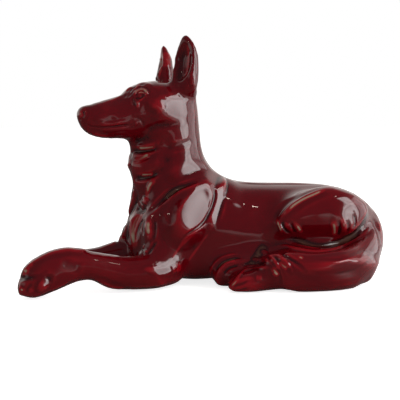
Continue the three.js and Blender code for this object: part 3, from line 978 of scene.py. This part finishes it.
def pourHole(clay):
    x, y, radius, _ = skin["plug"]
    gap = np.hypot(clay.points[:, 0] - x, clay.points[:, 1] - y)
    inside = (gap < radius - piece["holeRim"]) & (clay.points[:, 2] < piece["holeRim"])
    editPoints(clay.piece, inside, lambda: bpy.ops.mesh.delete(type="VERT"))


def splitPieces(clay):
    mesh = clay.piece.data
    # the glaze's tone, partly painted light: darker in hollows as painted shade, paler on ridges as painted
    # highlight
    addValues(mesh, "pool", glazeDepthAndLightOf(clay))
    foot = (clay.points[:, 2] < piece["footHeight"]) & (clay.normals[:, 2] < piece["footFacing"])
    addValues(mesh, "bare", foot)
    addValues(mesh, "skinNormal", clay.normals, "FLOAT_VECTOR", "vector")
    pourHole(clay)
    editMesh(clay.piece, lambda: bpy.ops.mesh.separate(type="MATERIAL"))
    for part in list(bpy.context.selected_objects):
        name = part.data.materials[part.data.polygons[0].material_index].name[len("mark_"):]
        finishPiece(part, name)


def triangles(mesh):
    return sum(len(polygon.vertices) - 2 for polygon in mesh.polygons)


def finishPiece(part, name):
    mesh = part.data
    mesh.materials.clear()
    mesh.materials.append(glazeMaterial)
    mesh.polygons.foreach_set("material_index", [0] * len(mesh.polygons))
    outside, outer = len(mesh.vertices), triangles(mesh)
    wall = piece["walls"].get(name, piece["otherWall"])
    applyModifier(part, "SOLIDIFY", thickness=wall * mm, offset=-1)
    mesh = part.data
    inner = part.vertex_groups.new(name="inner")
    inner.add(range(outside, len(mesh.vertices)), 1.0, "REPLACE")
    addValues(mesh, "inside", np.arange(len(mesh.vertices)) >= outside)
    whole = triangles(mesh)
    share = (outer + (whole - outer) * piece["innerShare"]) / whole
    applyModifier(part, "DECIMATE", ratio=share, vertex_group="inner", vertex_group_factor=1.0)
    mesh = part.data
    inside = readAll(mesh.attributes["inside"].data, "value", 1)
    normals = readAll(mesh.attributes["skinNormal"].data, "vector") * np.where(inside > 0.5, -1, 1)
    mesh.polygons.foreach_set("use_smooth", [True] * len(mesh.polygons))
    mesh.normals_split_custom_set_from_vertices(normals.tolist())
    for spare in ("skinNormal", "inside"):
        mesh.attributes.remove(mesh.attributes[spare])
    part.vertex_groups.clear()
    part.name = name + "_casting"
    mesh.name = part.name
    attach(part, "root")
    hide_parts(name)
    print("piece", part.name, triangles(mesh), "triangles")


splitPieces(clay)


# Stage: floor, surroundings and lights

stage = {
    "floorSize": 30.0,  # metres
    "floorColour": "#e4e2e0",
    "floorMirrored": "#6a6866",  # darker in the glaze, to the left
    "floorMirroredWindowLit": "#d2cfcd",  # and lighter towards the windows: painted window light on the floor as the glaze mirrors it
    "floorTurn": (0.11, 0.26),  # metres to the right, where the mirrored colour changes to the painted window light
    "floorGlow": 0.8,  # added for the camera, to bring the lit floor to white
    "glossShare": 0.03,  # how much of the white surroundings the glaze mirrors
    "glossRight": 0.36,  # and of the floor below the windows, brighter there as painted window light
    "fill": 0.6,  # the soft light from all round
    "room": "#59565a",
    "walls": {  # the axis of each pale wall, where along it the wall starts and is full, and its share
        "right": (0, 0.35, 0.9, 0.6),
        "left": (0, -0.89, -0.98, 0.7),
        "back": (1, 0.1, 0.7, 0.95),
    },
    "wallTop": (1.0, 0.6),  # where the walls end and are full
    "wall": (1.0, 0.97, 0.93, 1),
    "unevenness": 0.25,  # share by which the windows' light varies over them
    "unevenSize": 200.0,  # millimetres across such a change
}
white = (1, 1, 1, 1)
windows = {  # soft boxes: degrees as in towards, metres, and brightness beside white
    "window": dict(azimuth=53, elevation=18, distance=1.1, width=0.46, height=1.2, soft=0.1, radiance=6.0),
    "side_window": dict(azimuth=86, elevation=13, distance=1.1, width=0.99, height=0.9, soft=0.12,
                        radiance=2.3),
}
lamps = {  # in the same units
    "lamp_left": dict(azimuth=-60, elevation=36, distance=1.5, width=0.04, height=0.05, radiance=45,
                      colour=(1.0, 0.85, 0.7)),
    "lamp_right": dict(azimuth=46, elevation=52, distance=1.5, width=0.05, height=0.03, radiance=30,
                       colour=(1.0, 0.85, 0.72)),
}


def newMaterial(name):
    material = bpy.data.materials.new(name)
    material.use_nodes = True
    material.node_tree.nodes.clear()
    return material, material.node_tree


def makeFloor():
    bpy.ops.object.select_all(action="DESELECT")
    bpy.ops.mesh.primitive_plane_add(size=stage["floorSize"], location=(0, 0, 0))
    floor = bpy.context.object
    floor.name = "floor"
    material, tree = newMaterial("pale_table")
    path = addNode(tree, "LightPath")
    glossy = path.outputs["Is Glossy Ray"]
    split = addNode(tree, "SeparateXYZ", (), {0: addNode(tree, "TexCoord").outputs["Object"]})
    start, end = stage["floorTurn"]
    # painted light: the floor as mirrored grows brighter towards the windows
    nearWindows = addNode(tree, "MapRange", smoothly, {"Value": split, "From Min": start, "From Max": end})
    share = addNode(tree, "MapRange", (),
                    {"Value": nearWindows, "To Min": stage["glossShare"], "To Max": stage["glossRight"]})
    seen = addNode(tree, "Math", {"operation": "MULTIPLY_ADD"},
                   {0: glossy, 1: share, 2: path.outputs["Is Camera Ray"]})
    glow = addNode(tree, "Math", {"operation": "MULTIPLY"}, {0: seen, 1: stage["floorGlow"]})
    mirrored = addNode(tree, "Mix", inColour, {0: nearWindows, 6: hexColour(stage["floorMirrored"]),
                                               7: hexColour(stage["floorMirroredWindowLit"])})
    colour = addNode(tree, "Mix", inColour, {0: glossy, 6: hexColour(stage["floorColour"]), 7: mirrored})
    matt = addNode(tree, "BsdfDiffuse", (), {"Color": colour})
    light = addNode(tree, "Emission", (), {"Color": white, "Strength": glow})
    both = addNode(tree, "AddShader", (), {0: matt, 1: light})
    addNode(tree, "OutputMaterial", (), {"Surface": both})
    floor.data.materials.append(material)


def makeWorld():  # dim for the glaze to mirror, and white to the camera
    world = bpy.data.worlds.new("room")
    bpy.context.scene.world = world
    world.use_nodes = True
    tree = world.node_tree
    tree.nodes.clear()
    path = addNode(tree, "LightPath").outputs
    split = addNode(tree, "SeparateXYZ", (), {0: addNode(tree, "TexCoord").outputs["Generated"]}).outputs
    walls = 0.0
    for axis, start, end, share in stage["walls"].values():
        side = addNode(tree, "MapRange", smoothly,
                       {"Value": split[axis], "From Min": start, "From Max": end, "To Max": share})
        walls = addNode(tree, "Math", {"operation": "ADD"}, {0: walls, 1: side})
    start, end = stage["wallTop"]
    low = addNode(tree, "MapRange", smoothly, {"Value": split[2], "From Min": start, "From Max": end})
    wall = addNode(tree, "Math", {"operation": "MULTIPLY"}, {0: walls, 1: low})
    room = addNode(tree, "Mix", inColour, {0: wall, 6: hexColour(stage["room"]), 7: stage["wall"]})
    mirrored = addNode(tree, "Mix", inColour, {0: stage["glossShare"], 6: room, 7: white})
    fill = (stage["fill"],) * 3 + (1,)
    lit = addNode(tree, "Mix", inColour, {0: path["Is Glossy Ray"], 6: fill, 7: mirrored})
    shown = addNode(tree, "Mix", inColour, {0: path["Is Camera Ray"], 6: lit, 7: white})
    back = addNode(tree, "Background", (), {"Color": shown, "Strength": 1.0})
    addNode(tree, "OutputWorld", (), {"Surface": back})


def placed(azimuth, elevation, distance):  # where a light stands, and its turn towards the dog
    away = Vector(towards(azimuth, elevation))
    return Vector((0, midY * mm, 0.1)) + away * distance, (-away).to_track_quat("-Z", "Y").to_euler()


def makeWindow(name, azimuth, elevation, distance, width, height, soft, radiance):
    bpy.ops.mesh.primitive_plane_add(size=1)
    card = bpy.context.object
    card.name = name
    card.dimensions = (width, height, 0)
    bpy.ops.object.transform_apply(location=False, rotation=False, scale=True)
    card.location, card.rotation_euler = placed(azimuth, elevation, distance)
    card.visible_camera = False
    card.visible_shadow = False
    material, tree = newMaterial(name)
    place = addNode(tree, "TexCoord").outputs["Object"]
    split = addNode(tree, "SeparateXYZ", (), {0: place})
    strength = radiance
    for k, size in ((0, width), (1, height)):
        out = addNode(tree, "Math", {"operation": "ABSOLUTE"}, {0: split.outputs[k]})
        edge = addNode(tree, "MapRange", smoothly,
                       {"Value": out, "From Min": size / 2, "From Max": size / 2 - soft})
        strength = addNode(tree, "Math", {"operation": "MULTIPLY"}, {0: strength, 1: edge})
    scale, share = 1000 / stage["unevenSize"], stage["unevenness"]
    low, high = 0.3, 0.7  # nearly all of the noise lies between these
    noise = addNode(tree, "TexNoise", (), {"Vector": place, "Scale": scale, "Detail": 1.0})
    uneven = addNode(tree, "MapRange", (), {"Value": noise, "From Min": low, "From Max": high,
                                            "To Min": 1 - share, "To Max": 1 + share})
    strength = addNode(tree, "Math", {"operation": "MULTIPLY"}, {0: strength, 1: uneven})
    light = addNode(tree, "Emission", (), {"Color": white, "Strength": strength})
    addNode(tree, "OutputMaterial", (), {"Surface": light})
    card.data.materials.append(material)


def makeLamp(name, azimuth, elevation, distance, width, height, radiance, colour=(1, 1, 1)):
    data = bpy.data.lights.new(name, "AREA")
    data.shape = "RECTANGLE"
    data.size = width
    data.size_y = height
    data.energy = radiance * width * height * math.pi
    data.color = colour
    lamp = bpy.data.objects.new(name, data)
    lamp.location, lamp.rotation_euler = placed(azimuth, elevation, distance)
    lamp.visible_camera = False
    bpy.context.scene.collection.objects.link(lamp)


makeFloor()
makeWorld()
for name, values in windows.items():
    makeWindow(name, **values)
for name, values in lamps.items():
    makeLamp(name, **values)
bpy.context.scene.view_settings.view_transform = "Standard"
print("stage set")
